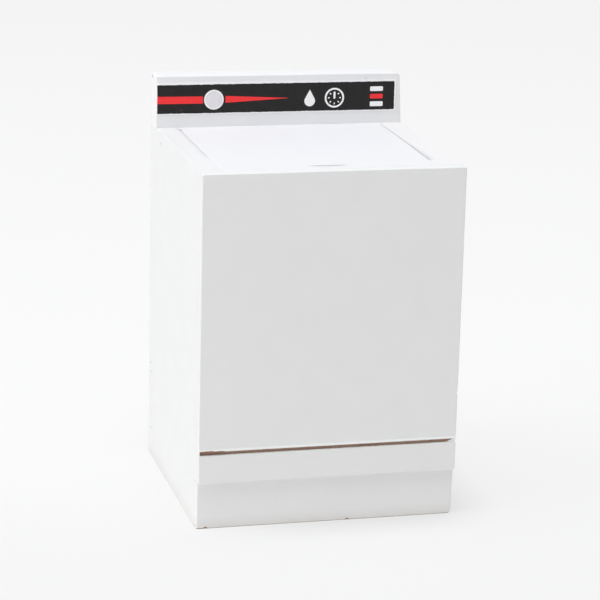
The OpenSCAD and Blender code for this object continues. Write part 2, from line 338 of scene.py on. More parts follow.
def drawn_steel(name):
    """Drawn steel wire: bright, with fine lines along its length, which is X."""
    made, tree, output = new_material(name)
    place = add(tree, "ShaderNodeTexCoord").outputs["Object"]
    stretched = add(tree, "ShaderNodeMapping", {"Scale": (0.02, 1.0, 1.0)}, {"Vector": place})
    line = add(tree, "ShaderNodeTexNoise", {"Scale": 1 / 0.00006, "Detail": 2.0},
               {"Vector": stretched.outputs[0]})
    gloss = add(tree, "ShaderNodeMapRange", {1: 0.3, 2: 0.7, 3: 0.25, 4: 0.42}, {0: line.outputs["Fac"]})
    shader = add(tree, "ShaderNodeBsdfPrincipled", {"Base Color": linear("#B9B9BB"), "Metallic": 1.0},
                 {"Roughness": gloss.outputs[0]})
    tree.links.new(shader.outputs[0], output.inputs[0])
    return made


cabinet_paint = satin_paint("satin white paint on MDF", "#F0F1F0", "#EDEEED")
# The next five are copies of that white, each a little lighter, darker or bluer: painted light and shade for
# how the light falls on each board
left_shaded_white = satin_paint("satin white paint on the left board", "#EFF0F0", "#ECEDED")
right_lit_white = satin_paint("satin white paint on the right board", "#F3F2F2", "#F0EFEF")
plinth_lit_white = satin_paint("satin white paint on the plinth", "#F3F3F3", "#F0F0F0")
top_lit_white = satin_paint("satin white paint on top boards", "#F1F1F3", "#EEEEF0")
splash_lit_white = satin_paint("satin white paint on backsplash", "#F4F4F5", "#F1F1F2")
deck_paint = satin_paint("satin white paint on the tub deck", "#F0F1F2", "#ECEDEE", bare=False)
bare_mdf = sawn_mdf("sawn MDF", "#7A5E47", "#B49674")
joint_mdf = sawn_mdf("dusty MDF in the joint", "#8C7160", "#B09483")
card_white = printed_card("white card", "#FFFFFF", "#FDFDFE", 0.42)
ink_black = printed_card("black ink on varnished card", "#100E0F", "#1A1616", 0.42)
ink_red = printed_card("red ink on varnished card", "#FF3337", "#FA2E33", 0.42)
ink_grey = printed_card("pale grey ink on varnished card", "#EFECF0", "#EAE7EB", 0.42)
lint_brown = printed_card("lint caught in the varnish", "#6E4C4A", "#5A4242", 0.6)
white_tub = moulded_polystyrene("white moulded polystyrene", "#ECEDEE", "#E6E7E9")
blue_tub = moulded_polystyrene("blue moulded polystyrene", "#AFC3D8", "#A7BBD1")
steel = drawn_steel("drawn steel wire")


# ---------------------------------------------------------------- pieces

def add_piece(name, points, faces, materials, body, replaced, marks=(), sharp=32):
    """Makes one object of these points, with its materials, body and marks, and hides what it replaces."""
    mesh = bpy.data.meshes.new(name)
    mesh.from_pydata([tuple(p) for p in np.asarray(points) * MM], [], [list(map(int, f)) for f in faces])
    for material in materials:
        mesh.materials.append(material)
    for mark in marks:
        mesh.attributes.new(mark, "FLOAT", "POINT").data.foreach_set("value", marks[mark].astype(np.float32))
    mesh.polygons.foreach_set("use_smooth", [True] * len(mesh.polygons))
    mesh.set_sharp_from_angle(angle=math.radians(sharp))
    mesh.validate()
    mesh.update()
    piece = bpy.data.objects.new(name, mesh)
    bpy.context.scene.collection.objects.link(piece)
    even = piece.modifiers.new("even shading", "WEIGHTED_NORMAL")
    even.keep_sharp = True
    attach(piece, body)
    if replaced:
        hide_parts(*replaced)
    return piece


def painted(points, faces, depth=PAINT):
    """Lets the paint lie unevenly: the surface sinks by up to this depth, in swells of 9 and 3 mm."""
    swell = 0.5 + 0.35 * grain(points, 9.0, 1) + 0.15 * grain(points, 3.2, 2)
    return points - outward(points, faces) * (depth * np.clip(swell, 0, 1))[:, None]


def hand_sanded(points, radius, seed):
    """An arris radius that wanders along the edge, as sandpaper leaves it."""
    return radius * (1 + 0.22 * grain(points, 6.0, seed) + 0.10 * grain(points, 1.7, seed + 0.5))


def board(name, replaced, low, high, ease_low, ease_high, step=0.8, close=((), (), ()), holes=(), shape=None,
          edge=None, painted_shade=None, material=cabinet_paint, body="cabinet"):
    """A board between two corners, with its edges eased and its paint uneven, for the node it replaces.

    shape moves the points. edge says how far into bare board each one lies, and the shade function how much
    painted shade greys each one."""
    widest_low = [e(None) if callable(e) else e for e in ease_low]
    widest_high = [e(None) if callable(e) else e for e in ease_high]
    lines = [cut_lines(low[n], high[n], widest_low[n], widest_high[n], step, close[n]) for n in range(3)]
    points, faces = shell(lines, holes)
    raw = points.copy()
    near = [e(points) if callable(e) else e for e in ease_low]
    far = [e(points) if callable(e) else e for e in ease_high]
    points = eased(points, np.array(low), np.array(high), near, far)
    if shape is not None:
        points = shape(points, raw)
    points = painted(points, faces)
    marks = {"paint_edge": edge(points, raw) if edge is not None else np.full(len(points), -1.0)}
    if painted_shade is not None:
        marks["painted_shade"] = painted_shade(points, raw)
    return add_piece(name, points, faces, [material], body, [replaced] if replaced else [], marks)


def wandering(radius, seed):
    """An ease for board(): the radius itself for None, and otherwise one near it for each point."""
    def ease(points):
        if points is None:
            return radius
        return np.clip(hand_sanded(points, radius, seed), 0.5 * radius, 1.3 * radius)
    return ease


# The lid sits askew and to the left in its opening. SEAM_Y are places along Y, and the two rows below it
# are the widths of the left and right seams there.
LID_HALF, LID_MIDDLE, LID_SKEW = 23.33, -0.25, 0.010
SEAM_Y = [-21.6, -20.4, -19.7, -19.0, -17.0, -13.5, -11.5, -9.5, -8.0, 2.0, 12.0, 17.0, 18.7, 19.2, 19.6]
LEFT_SEAM = [0.00, 0.00, 0.00, 0.00, 0.00, 0.01, 0.04, 0.13, 0.13, 0.10, 0.09, 0.09, 0.14, 0.36, 0.40]
RIGHT_SEAM = [0.00, 0.00, 0.02, 0.09, 0.10, 0.10, 0.11, 0.12, 0.12, 0.10, 0.09, 0.08, 0.08, 0.10, 0.12]
LID_WORN = 0.17        # most that is worn off the lid's right edge
# Painted shade beside the lid's seams, on the side boards, where shade falls into the seams: how strong it is
# along Y, and how far it reaches
SEAM_SHADE_Y = [-19.9, -19.2, -17.0, -13.0, -8.0, -4.0, 2.0, 12.0, 18.0]
LEFT_SEAM_SHADE = [0.00, 0.00, 0.00, 0.00, 0.20, 0.24, 0.28, 0.34, 0.34]
RIGHT_SEAM_SHADE = [0.00, 0.50, 0.54, 0.52, 0.46, 0.34, 0.26, 0.18, 0.12]
SEAM_SHADE_REACH = [0.70, 0.70, 0.70, 0.66, 0.56, 0.46, 0.40, 0.40, 0.40]


def lid_middle(y):
    return LID_MIDDLE + LID_SKEW * (y - 1.0)


def lid_wear(y):
    """What is worn off the lid's right edge, towards the front."""
    return LID_WORN * smooth_step(-y, 4, 12)


def opening(sign, y):
    """How far from the middle plane the side board's edge is beside the lid, on the right for a sign of 1."""
    seam = np.interp(y, SEAM_Y, RIGHT_SEAM if sign > 0 else LEFT_SEAM)
    return LID_HALF + sign * lid_middle(y) + seam - (lid_wear(y) if sign > 0 else 0)


# Side boards: eased outside, bored for the pins, bare along the bottom edge
INNER_EASE, SEAM_EASE_RIGHT, SEAM_EASE_LEFT = 0.02, 0.14, 0.06
PIN_BORE_DEEP = 1.2


def side(sign, name, node):
    low = np.array([INNER_X, side_low[1], side_low[2]])
    high = side_high.copy()
    if sign < 0:
        low[0], high[0] = -side_high[0], -INNER_X
    outer = wandering(ARRIS, 3 + sign)

    def lid_side(points):
        """The inner edge's ease, which is wider beside the lid."""
        if points is None:
            return INNER_EASE + SEAM_EASE_RIGHT
        beside = smooth_step(points[:, 1], lid_low[1] - 0.5, lid_low[1] + 0.1)
        beside *= 1 - smooth_step(points[:, 1], lid_high[1] + 0.1, lid_high[1] + 0.5)
        wider = SEAM_EASE_RIGHT if sign > 0 else SEAM_EASE_LEFT
        return INNER_EASE + wider * beside * smooth_step(points[:, 2], 60, 72)

    def built_up(points, raw):
        """Paint has built up beside the lid, so the seam narrows and then closes towards the front."""
        y = raw[:, 1]
        near = 1 - smooth_step(np.abs(raw[:, 0]), INNER_X + 0.12, INNER_X + 0.9)
        beside = smooth_step(y, lid_low[1] - 0.3, lid_low[1] - 0.1)
        beside *= 1 - smooth_step(y, lid_high[1] + 0.15, lid_high[1] + 0.3)
        high_up = smooth_step(raw[:, 2], 71.0, 73.0)
        moved = points.copy()
        moved[:, 0] += sign * (opening(sign, y) - INNER_X) * near * beside * high_up
        return moved

    def edge(points, raw):
        return np.where(raw[:, 2] <= 0, 0.2, 0.04 - points[:, 2])

    # Painted shade: greys the side board beside the lid's seam, fading away from it
    def seam_shade(points, raw):
        y = raw[:, 1]
        across = np.clip(np.abs(points[:, 0]) - opening(sign, y), 0, None)
        strength = np.interp(y, SEAM_SHADE_Y, RIGHT_SEAM_SHADE if sign > 0 else LEFT_SEAM_SHADE)
        fade = np.exp(-(across / np.interp(y, SEAM_SHADE_Y, SEAM_SHADE_REACH)) ** 1.5)
        return strength * fade * smooth_step(raw[:, 2], 76, 77)

    ease_low, ease_high = [lid_side, 0.0, 0.2], [wandering(0.04, 4 + sign), outer, wandering(0.04, 5 + sign)]
    if sign < 0:
        ease_low[0], ease_high[0] = ease_high[0], lid_side
    hole = (1 if sign > 0 else 0, PIN_Y, PIN_Z, PIN_R, PIN_BORE_DEEP)
    beside_lid = sorted((sign * (INNER_X + 0.2), sign * (INNER_X + 2.0)))
    close_x = [(*beside_lid, 0.2)]
    close_y = [(PIN_Y - 2 * PIN_R, PIN_Y + 2 * PIN_R, PIN_R), (18.2, 20.2, 0.25), (-22.0, -18.4, 0.2)]
    close_z = [(PIN_Z - 2 * PIN_R, PIN_Z + 2 * PIN_R, PIN_R)]
    return board(name, node, low, high, ease_low, ease_high, step=1.0, close=(close_x, close_y, close_z),
                 holes=[hole], shape=built_up, edge=edge, painted_shade=seam_shade,
                 material=right_lit_white if sign > 0 else left_shaded_white)


side(-1, "left_side_board", "side_panel_left")
side(1, "right_side_board", "side_panel_right")


def rounded_corner(points, high_x, high_z, size):
    """Rounds the corner at the highest X and Z by moving the grid's points inside that small square."""
    start_x, start_z = high_x - size, high_z - size
    u = np.clip((points[:, 0] - start_x) / size, 0, None)
    v = np.clip((points[:, 2] - start_z) / size, 0, None)
    both = (u > 0) & (v > 0)
    pull = np.where(both, np.maximum(u, v) / np.maximum(np.hypot(u, v), 1e-9), 1)
    moved = points.copy()
    moved[:, 0] = np.where(both, start_x + size * u * pull, points[:, 0])
    moved[:, 2] = np.where(both, start_z + size * v * pull, points[:, 2])
    return moved


# Front board: paint hangs in a bead along its lower edge, and the sawn underside is bare
BEAD_UP, BEAD_SPREAD, BEAD_OUT = 0.16, 0.28, 0.30
FACE_BACK = 0.12       # how far the face lies behind the solid's, so that the bead stays near its box
FRONT_CORNER = 0.45
NICK_Z, NICK_HALF, NICK_DEEP = 27.9, 0.35, 0.22
BARE_UP, CHIP_UP = 0.08, 0.24
BARE_IN, CHIP_OUT = 0.30, 0.55


def beaded(points, raw):
    above = raw[:, 2] - front_low[2]
    bead = BEAD_OUT * np.exp(-((above - BEAD_UP) / BEAD_SPREAD) ** 2)
    front = smooth_step(-raw[:, 1], -front_low[1] - 1.0, -front_low[1])
    moved = rounded_corner(points, front_high[0], front_high[2], FRONT_CORNER)
    moved[:, 1] += front * (FACE_BACK - bead)
    # The right arris has a small nick
    nick = NICK_DEEP * np.exp(-((raw[:, 2] - NICK_Z) / NICK_HALF) ** 2) * smooth_step(raw[:, 0], 28.0, 28.3)
    moved[:, 0] -= nick * smooth_step(-raw[:, 1], -front_low[1] - 1.6, -front_low[1])
    return moved


def front_edge(points, raw):
    """Bare on the underside and, at the left, where the paint has chipped, round to the face."""
    chipped = (1 - smooth_step(raw[:, 0], -26.0, -20.5)) * smooth_step(raw[:, 0], -28.45, -28.2)
    under = front_low[2] + BARE_UP + CHIP_UP * chipped - points[:, 2]
    back = points[:, 1] - (front_low[1] + BARE_IN - CHIP_OUT * smooth_step(chipped, 0.1, 0.5))
    return np.clip(np.minimum(under, back), -1, 0.2)


beside_bead = (front_low[2] + BEAD_UP, front_low[2] + 0.80, 0.08)
beside_nick = (NICK_Z - 0.75, NICK_Z + 0.75, 0.15)
board("front_board", "front_panel", front_low, front_high,
      [wandering(ARRIS, 7), wandering(ARRIS, 8), wandering(0.12, 9)],
      [wandering(ARRIS, 10), 0.0, wandering(0.14, 11)], step=0.9,
      close=([(27.9, 28.3, 0.13)], (), [beside_bead, beside_nick, (77.0, 77.45, 0.12)]),
      shape=beaded, edge=front_edge)


# Lower strip: its upper edge in the joint is bare, and its right end is sanded round there
STRIP_CORNER = 0.65
STRIP_BARE_TO = 27.4   # the paint goes round the right end from here on


def strip_shape(points, raw):
    return rounded_corner(points, strip_high[0], strip_high[2], STRIP_CORNER)


def strip_edge(points, raw):
    over = points[:, 2] - (strip_high[2] - BARE_UP)
    back = points[:, 1] - (strip_low[1] + BARE_IN)
    short = STRIP_BARE_TO - points[:, 0]
    return np.clip(np.minimum(np.minimum(over, back), short), -1, 0.2)


board("lower_strip", "lower_front_strip", strip_low, strip_high,
      [wandering(ARRIS, 12), wandering(ARRIS, 13), wandering(ARRIS, 14)],
      [wandering(ARRIS, 15), 0.0, wandering(0.14, 16)], step=0.5,
      close=([(27.8, 28.3, 0.12)], (), [(16.2, 16.75, 0.12)]), shape=strip_shape, edge=strip_edge)


# The joint between them: bare fibre a little way in, closed by paint at both ends
JOINT_IN, FUR = 0.42, 0.07
FILL_IN = 0.34         # how much further in the paint at the right end lies where it starts
joint_y = front_low[1] + JOINT_IN


def furred(points, raw):
    moved = points.copy()
    moved[:, 1] += FUR * grain(raw, 0.9, 31) * (raw[:, 1] < -27)
    return moved


board("joint_fibre", None, (-28.3, joint_y, strip_high[2] - 0.2), (27.6, front_high[1], front_low[2] + 0.2),
      [0.0, 0.0, 0.0], [0.0, 0.0, 0.0], step=0.35, close=((), [(joint_y + 0.6, front_high[1], 1.5)], ()),
      shape=furred, material=joint_mdf)
board("joint_paint_left", None, (-28.5, front_low[1] + 0.03, strip_high[2] - 0.15),
      (-28.18, front_high[1], front_low[2] + 0.12), [wandering(0.2, 32), 0.2, 0.0], [0.08, 0.0, 0.0],
      step=0.3)


def filled_out(points, raw):
    """The paint fills the joint's right end little by little."""
    moved = points.copy()
    moved[:, 1] += FILL_IN * (1 - smooth_step(raw[:, 0], 25.6, 28.0)) * (raw[:, 1] < -26)
    return moved


def thinning(points, raw):
    """The fibre shows above that paint, in a strip that narrows to nothing."""
    filled = (front_low[2] + 0.1 - strip_high[2]) * smooth_step(raw[:, 0], 26.2, 28.1)
    return np.clip(raw[:, 2] - strip_high[2] - filled, -0.24, 0.24)


board("joint_paint_right", None, (25.2, front_low[1] + 0.07, strip_high[2] - 0.15),
      (28.22, front_high[1], front_low[2] + 0.12), [0.0, 0.0, 0.0], [0.4, 0.0, 0.0], step=0.2,
      close=((), [(-26.0, front_high[1], 1.5)], ()), shape=filled_out, edge=thinning)


# Plinth board: bare along the floor, with a chipped corner and a nick. Its right end is sawn out of square
# and rubbed round at the bottom.
FOOT_BARE, FOOT_BARE_LEFT = 0.12, 0.12
FOOT_CHIP_X, FOOT_CHIP_HALF, FOOT_CHIP_TALL = -26.5, 0.35, 0.24
FOOT_NICK_X, FOOT_NICK_HALF, FOOT_NICK_TALL = 4.86, 0.45, 0.32
END_IN, END_ROUND, END_ROUND_TALL = 0.14, 0.42, 1.5


def plinth_edge(points, raw):
    x, z = points[:, 0], points[:, 2]
    bare = FOOT_BARE + FOOT_BARE_LEFT * (1 - smooth_step(x, -26.6, -25.6))
    bare += FOOT_CHIP_TALL * np.exp(-((x - FOOT_CHIP_X) / FOOT_CHIP_HALF) ** 2)
    bare += FOOT_NICK_TALL * np.exp(-((x - FOOT_NICK_X) / FOOT_NICK_HALF) ** 2)
    return np.where(raw[:, 2] <= 0, 0.2, np.clip(bare - z, -1, 0.3))


def out_of_square(points, raw):
    moved = points.copy()
    right = smooth_step(raw[:, 0], 20, 28.5)
    corner = END_ROUND * np.clip(1 - raw[:, 2] / END_ROUND_TALL, 0, 1) ** 2
    moved[:, 0] -= right * (END_IN * (1 - smooth_step(raw[:, 2], 3.0, 10.0)) + corner)
    return moved


board("plinth", "plinth_board", plinth_low, plinth_high,
      [wandering(ARRIS, 17), wandering(ARRIS, 18), 0.32], [wandering(ARRIS, 19), 0.0, 0.0], step=0.6,
      close=([(-28.1, -25.3, 0.18), (4.1, 5.6, 0.15)], (), [(0.4, 1.6, 0.14)]),
      shape=out_of_square, edge=plinth_edge, material=plinth_lit_white)

back_low, back_high = corners("back_panel")
board("back_board", "back_panel", back_low, back_high, [0.06, 0.0, 0.06], [0.06, 0.10, 0.0], step=1.0)

# Backsplash: its right end leans in, and that top corner is sanded round
SPLASH_CORNER = 0.8
LEAN_IN, TOP_FALL = 0.62, 0.26         # how far the top right corner leans in, and how much lower it is


def leaning(points, raw):
    moved = rounded_corner(points, splash_high[0], splash_high[2], SPLASH_CORNER)
    rise = (moved[:, 2] - splash_low[2]) / (splash_high[2] - splash_low[2])
    moved[:, 0] -= LEAN_IN * rise * smooth_step(raw[:, 0], 10, 28.5)
    moved[:, 2] -= TOP_FALL * rise * (raw[:, 0] - splash_low[0]) / (splash_high[0] - splash_low[0])
    return moved


board("splash_board", "backsplash", splash_low, splash_high,
      [wandering(ARRIS, 20), wandering(0.14, 21), 0.0],
      [wandering(0.18, 22), wandering(ARRIS, 23), wandering(0.14, 24)], step=0.6,
      close=([(27.5, 28.3, 0.13)], (), [(88.2, 89.05, 0.13)]), shape=leaning, material=splash_lit_white)

# Rear rail: it comes close to the lid, is planed under in front, and has one small nick
rear_low, rear_high = corners("rear_top_rail")
RAIL_LIP, RAIL_SINK = 0.10, 0.11       # how far its front edge comes towards the lid, and how low it lies
RAIL_SLOPE = math.tan(math.radians(31))
RAIL_NICK_X, RAIL_NICK_HALF, RAIL_NICK_DEEP = -5.75, 0.45, 0.3


def planed_under(points, raw):
    lean = RAIL_SLOPE * (rear_high[2] - raw[:, 2])
    share = (rear_high[1] - raw[:, 1]) / (rear_high[1] - rear_low[1])
    nick = RAIL_NICK_DEEP * np.exp(-((raw[:, 0] - RAIL_NICK_X) / RAIL_NICK_HALF) ** 2)
    moved = points.copy()
    moved[:, 1] += (lean - RAIL_LIP + nick) * share
    # It is level with the side boards at its ends
    sunk = RAIL_SINK * (1 - smooth_step(np.abs(raw[:, 0]), 22.2, 23.5))
    moved[:, 2] -= sunk * smooth_step(-raw[:, 1], -splash_low[1], -rear_low[1])
    return moved


board("rear_rail", "rear_top_rail", rear_low, rear_high, [0.0, 0.06, 0.0], [0.0, 0.0, 0.06], step=0.6,
      close=([(-7.2, -4.4, 0.2)], (), ()), shape=planed_under, material=top_lit_white)

# Front rail, with the scooped finger notch, which slopes down towards the lid
NOTCH_X, NOTCH_W, NOTCH_D = -0.4, 9.4, 1.35
RAIL_REACH, RAIL_RISE = 0.19, 0.035    # how far paint brings the rail towards the lid, and raises it there
# Strength of the painted shade along the notch's rim
NOTCH_SHADE = 0.2
notch_r = ((NOTCH_W / 2) ** 2 + NOTCH_D ** 2) / (2 * NOTCH_D)


def notched(points, raw):
    off = np.clip(np.abs(raw[:, 0] - NOTCH_X), 0, NOTCH_W / 2)
    scoop = np.sqrt(notch_r ** 2 - off ** 2) - (notch_r - NOTCH_D)
    scoop *= smooth_step(raw[:, 2], rail_high[2] - 1.5, rail_high[2] - 0.1)
    share = (points[:, 1] - rail_low[1]) / (rail_high[1] - rail_low[1])
    moved = points.copy()
    moved[:, 1] += (RAIL_REACH - scoop) * share
    moved[:, 2] += RAIL_RISE * share
    return moved


def notch_shade(points, raw):
    """Painted shade along the rim of the notch, greying the paint where the notch lies in shade."""
    before = np.clip(rail_high[1] - 0.9 - points[:, 1], 0, None)
    beside = 1 - smooth_step(np.abs(raw[:, 0] - NOTCH_X), 2.8, 4.2)
    return NOTCH_SHADE * beside * np.exp(-(before / 0.7) ** 2)


beside_notch = (NOTCH_X - NOTCH_W / 2, NOTCH_X + NOTCH_W / 2, 0.29)
board("front_rail", "front_top_rail", rail_low, rail_high, [0.0, 0.0, 0.1], [0.0, 0.06, 0.06], step=0.7,
      close=([beside_notch], [(rail_low[1] + 0.3, rail_high[1], 0.2)], [(75.9, 77.3, 0.2)]),
      shape=notched, painted_shade=notch_shade, material=top_lit_white)

rest_low, rest_high = corners("lid_rest_strip")
board("rest_strip", "lid_rest_strip", rest_low, rest_high, [0.0, 0.0, 0.0], [0.0, 0.2, 0.15], step=0.8,
      material=top_lit_white)

# Lid: its upper rear edge is rounded to swing past the rail, and its right edge is worn towards the front
HEEL, EDGE = 0.26, 0.14
BORE, BORE_DEEP = PIN_R + 0.05, 6.2


def lid_shape(points, raw):
    moved = points.copy()
    moved[:, 0] = points[:, 0] * LID_HALF / lid_high[0] + lid_middle(points[:, 1])
    moved[:, 0] -= lid_wear(points[:, 1]) * smooth_step(points[:, 0], 18, lid_high[0])
    return moved


def heel(points):
    """The upper edge's ease, which widens to the heel's at the rear."""
    if points is None:
        return HEEL
    return EDGE + (HEEL - EDGE) * smooth_step(points[:, 1], lid_high[1] - 2.4, lid_high[1] - 0.8)


lid_holes = [(end, PIN_Y, PIN_Z, BORE, BORE_DEEP) for end in (0, 1)]
board("lid", "lid_board", lid_low, lid_high, [EDGE, 0.07, EDGE], [EDGE, HEEL, heel], step=0.8,
      close=((), [(PIN_Y - 2 * BORE, PIN_Y + 2 * BORE, BORE)], [(PIN_Z - 2 * BORE, PIN_Z + 2 * BORE, BORE)]),
      holes=lid_holes, shape=lid_shape, material=top_lit_white, body="lid")

# These solids are shown as they are
for node, material in (("base_board", bare_mdf), ("tub_deck", deck_paint),
                       ("deck_cleat_left", bare_mdf), ("deck_cleat_right", bare_mdf),
                       ("tub", white_tub), ("agitator", blue_tub),
                       ("hinge_pin_left", steel), ("hinge_pin_right", steel)):
    nodes[node].material_slots[0].material = material


# ---------------------------------------------------------------- printed control strip

def circle(x, z, r, count=48):
    turns = [math.radians(360 * n / count) for n in range(count)]
    return [(x + r * math.cos(a), z + r * math.sin(a)) for a in turns]


def water_drop(x, z, r, tall=2.1, shoulder=29, count=40):
    """A drop: round up to its shoulders, in degrees above its middle, with a point this many radii up."""
    turns = [math.radians(180 - shoulder + (180 + 2 * shoulder) * n / (count - 1)) for n in range(count)]
    return [(x + r * math.cos(a), z + r * math.sin(a)) for a in turns] + [(x, z + tall * r)]


def rounded_bar(x0, z0, x1, z1, r, count=6):
    made = []
    quarters = ((x1 - r, z0 + r, -90), (x1 - r, z1 - r, 0), (x0 + r, z1 - r, 90), (x0 + r, z0 + r, 180))
    for cx, cz, start in quarters:
        for n in range(count + 1):
            a = math.radians(start + 90 * n / count)
            made.append((cx + r * math.cos(a), cz + r * math.sin(a)))
    return made


def cut_by_hand(outline, reach, seed, step=0.35):
    """The outline with a point every step, moved by up to the reach, as scissors and rough print leave it."""
    made = []
    across = Vector((9, 0, 0))
    for n, (x0, z0) in enumerate(outline):
        x1, z1 = outline[(n + 1) % len(outline)]
        parts = max(1, round(math.hypot(x1 - x0, z1 - z0) / step))
        for k in range(parts):
            at = Vector((x0 + (x1 - x0) * k / parts, z0 + (z1 - z0) * k / parts, seed))
            made.append((at.x + reach * noise.noise(at / 0.6),
                         at.y + reach * noise.noise(at / 0.6 + across)))
    return made


def ring(x, z, outer, inner, count=56):
    """A ring as four-sided bits, because a printed plate has no holes."""
    turns = [2 * math.pi * n / count for n in range(count + 1)]
    bits = []
    for a, b in zip(turns, turns[1:]):
        corner_turns = ((inner, a), (outer, a), (outer, b), (inner, b))
        bits.append([(x + r * math.cos(turn), z + r * math.sin(turn)) for r, turn in corner_turns])
    return bits


def dial_tick(x, z, inner, outer, half, turn):
    """A short line that points at a dial's middle, turn degrees round from its right."""
    c, s = math.cos(math.radians(turn)), math.sin(math.radians(turn))
    return [(x + r * c - w * s, z + r * s + w * c) for r, w in
            ((inner, -half), (outer, -half), (outer, half), (inner, half))]


def printed_plate(name, outlines, y, thick, material, replaced=(), tilt=-0.0025):
    """A thin printed shape on the backsplash, with a rim of this thickness towards the board.

    Its outlines are told by X and Z from the middle of the top. They slope by the tilt along X."""
    points, faces = [], []
    for outline in outlines:
        start, count = len(points), len(outline)
        placed = [(x, TOP + z + tilt * x) for x, z in outline]
        points += [(x, y, z) for x, z in placed] + [(x, y + thick, z) for x, z in placed]
        for tri in geometry.tessellate_polygon([[Vector((x, z, 0)) for x, z in placed]]):
            a, b, c = (placed[n] for n in tri)
            turn = (b[0] - a[0]) * (c[1] - a[1]) - (c[0] - a[0]) * (b[1] - a[1])
            tri = list(tri) if turn > 0 else list(reversed(tri))
            faces.append([start + n for n in tri])
            faces.append([start + count + n for n in reversed(tri)])
        for n in range(count):
            m = (n + 1) % count
            faces.append([start + m, start + n, start + count + n, start + count + m])
    return add_piece(name, points, faces, [material], "cabinet", list(replaced), sharp=30)


# Printed area, in millimetres from the middle of the top. Its signs are plain ones: a stripe, a disc,
# a wedge, a drop, a dial with ticks and three bars.
INK_LEFT, INK_RIGHT, INK_LOW, INK_HIGH = -28.3, 26.72, 3.12, 9.61
CARD_BELOW, CARD_PAST, CARD_ABOVE = 0.22, 0.34, 0.42
DISC_X, DISC_Z, DISC_R, DISC_RIM = -15.37, 6.13, 1.94, 2.25
DROP_X, DROP_Z, DROP_R = 6.82, 5.42, 1.24
DIAL_X, DIAL_Z, DIAL_OUTER, DIAL_INNER = 12.60, 6.04, 2.27, 1.87
TICK_FROM, TICK_TO, TICK_HALF = 1.12, 1.52, 0.13
POINTER_HALF, POINTER_TALL = 0.24, 1.42
CARD_THICK, INK_THICK = 0.16, 0.011
CARD_FACE = label_high[1] - 0.11

card_shape = cut_by_hand(rounded_bar(INK_LEFT, INK_LOW - CARD_BELOW, INK_RIGHT + CARD_PAST,
                                     INK_HIGH + CARD_ABOVE, 0.15), 0.05, 1)
ink_shape = cut_by_hand(rounded_bar(INK_LEFT, INK_LOW, INK_RIGHT, INK_HIGH, 0.18), 0.07, 2)
stripe = [(INK_LEFT + 0.02, 5.36), (-17.86, 5.29), (-17.86, 6.92), (INK_LEFT + 0.02, 7.01)]
wedge = [(-12.70, 5.38), (1.65, 6.16), (1.65, 6.22), (-12.70, 6.93)]
upper_bar = rounded_bar(20.95, 7.41, 23.98, 8.48, 0.24)
red_bar = rounded_bar(20.96, 5.68, 24.00, 6.76, 0.28)
lower_bar = rounded_bar(20.98, 3.91, 24.03, 5.02, 0.24)
pointer = rounded_bar(DIAL_X - POINTER_HALF, DIAL_Z - POINTER_HALF,
                      DIAL_X + POINTER_HALF, DIAL_Z + POINTER_TALL, 0.23)
white_marks = [upper_bar, lower_bar, water_drop(DROP_X, DROP_Z, DROP_R), pointer]
for turn in range(135, 406, 45):
    white_marks.append(dial_tick(DIAL_X, DIAL_Z, TICK_FROM, TICK_TO, TICK_HALF, turn))
white_marks += ring(DIAL_X, DIAL_Z, DIAL_OUTER, DIAL_INNER)
lint = [circle(-24.33, 4.82, 0.09, 7), circle(-22.86, 3.95, 0.12, 7), circle(-22.72, 3.86, 0.09, 6)]

# Each print with how far it is lifted off the card, so that none lies in the same plane as one under it
for name, outlines, lift, material in (
        ("label_ink", [ink_shape], 0.012, ink_black),
        ("label_red", [stripe, wedge, red_bar], 0.024, ink_red),
        ("label_disc_rim", [circle(DISC_X, DISC_Z, DISC_RIM)], 0.030, card_white),
        ("label_disc", [circle(DISC_X, DISC_Z, DISC_R)], 0.036, ink_grey),
        ("label_marks", white_marks, 0.024, card_white),
        ("label_lint", lint, 0.030, lint_brown)):
    printed_plate(name, outlines, CARD_FACE - lift, INK_THICK, material)
printed_plate("label_card", [card_shape], CARD_FACE, CARD_THICK, card_white, replaced=["control_label"])


# ---------------------------------------------------------------- grit under the paint

SPOT_SIDES = 9


def grit_spots(name, spots, x=None, y=None):
    """Small uneven dark spots in one plane, either x or y given.

    A spot is (across, z, half width, half height)."""
    points, faces = [], []
    for n, (across, z, wide, tall) in enumerate(spots):
        start = len(points)
        for k in range(SPOT_SIDES):
            a = 2 * math.pi * k / SPOT_SIDES
            r = 1 + 0.35 * noise.noise(Vector((n * 3.1, k * 0.9, 4)))
            u, v = across + wide * r * math.cos(a), z + tall * r * math.sin(a)
            points.append((x, u, v) if y is None else (u, y, v))
        face = [start + k for k in range(SPOT_SIDES)]
        faces.append(face if y is not None else face[::-1])
    return add_piece(name, points, faces, [grit], "cabinet", [])


grit = printed_card("grit in the paint", "#BDB9B4", "#ABA6A0", 0.6)
LEFT_FACE, SPLASH_FACE = -28.5, 21.98
grit_spots("grit_left", [(25.4, 22.1, 0.28, 0.22), (25.3, 20.0, 0.3, 0.2), (24.7, 6.6, 0.28, 0.2),
                         (-24.05, 47.6, 0.035, 3.6)], x=LEFT_FACE)
# A soft grey spot on the left face at the splash's top rear corner
grit_spots("grey_spot_splash_end", [(26.5, 88.55, 0.42, 0.30)], x=LEFT_FACE)
grit_spots("grit_splash", [(19.9, 87.95, 0.13, 0.10)], y=SPLASH_FACE)


# ---------------------------------------------------------------- floor, light and camera

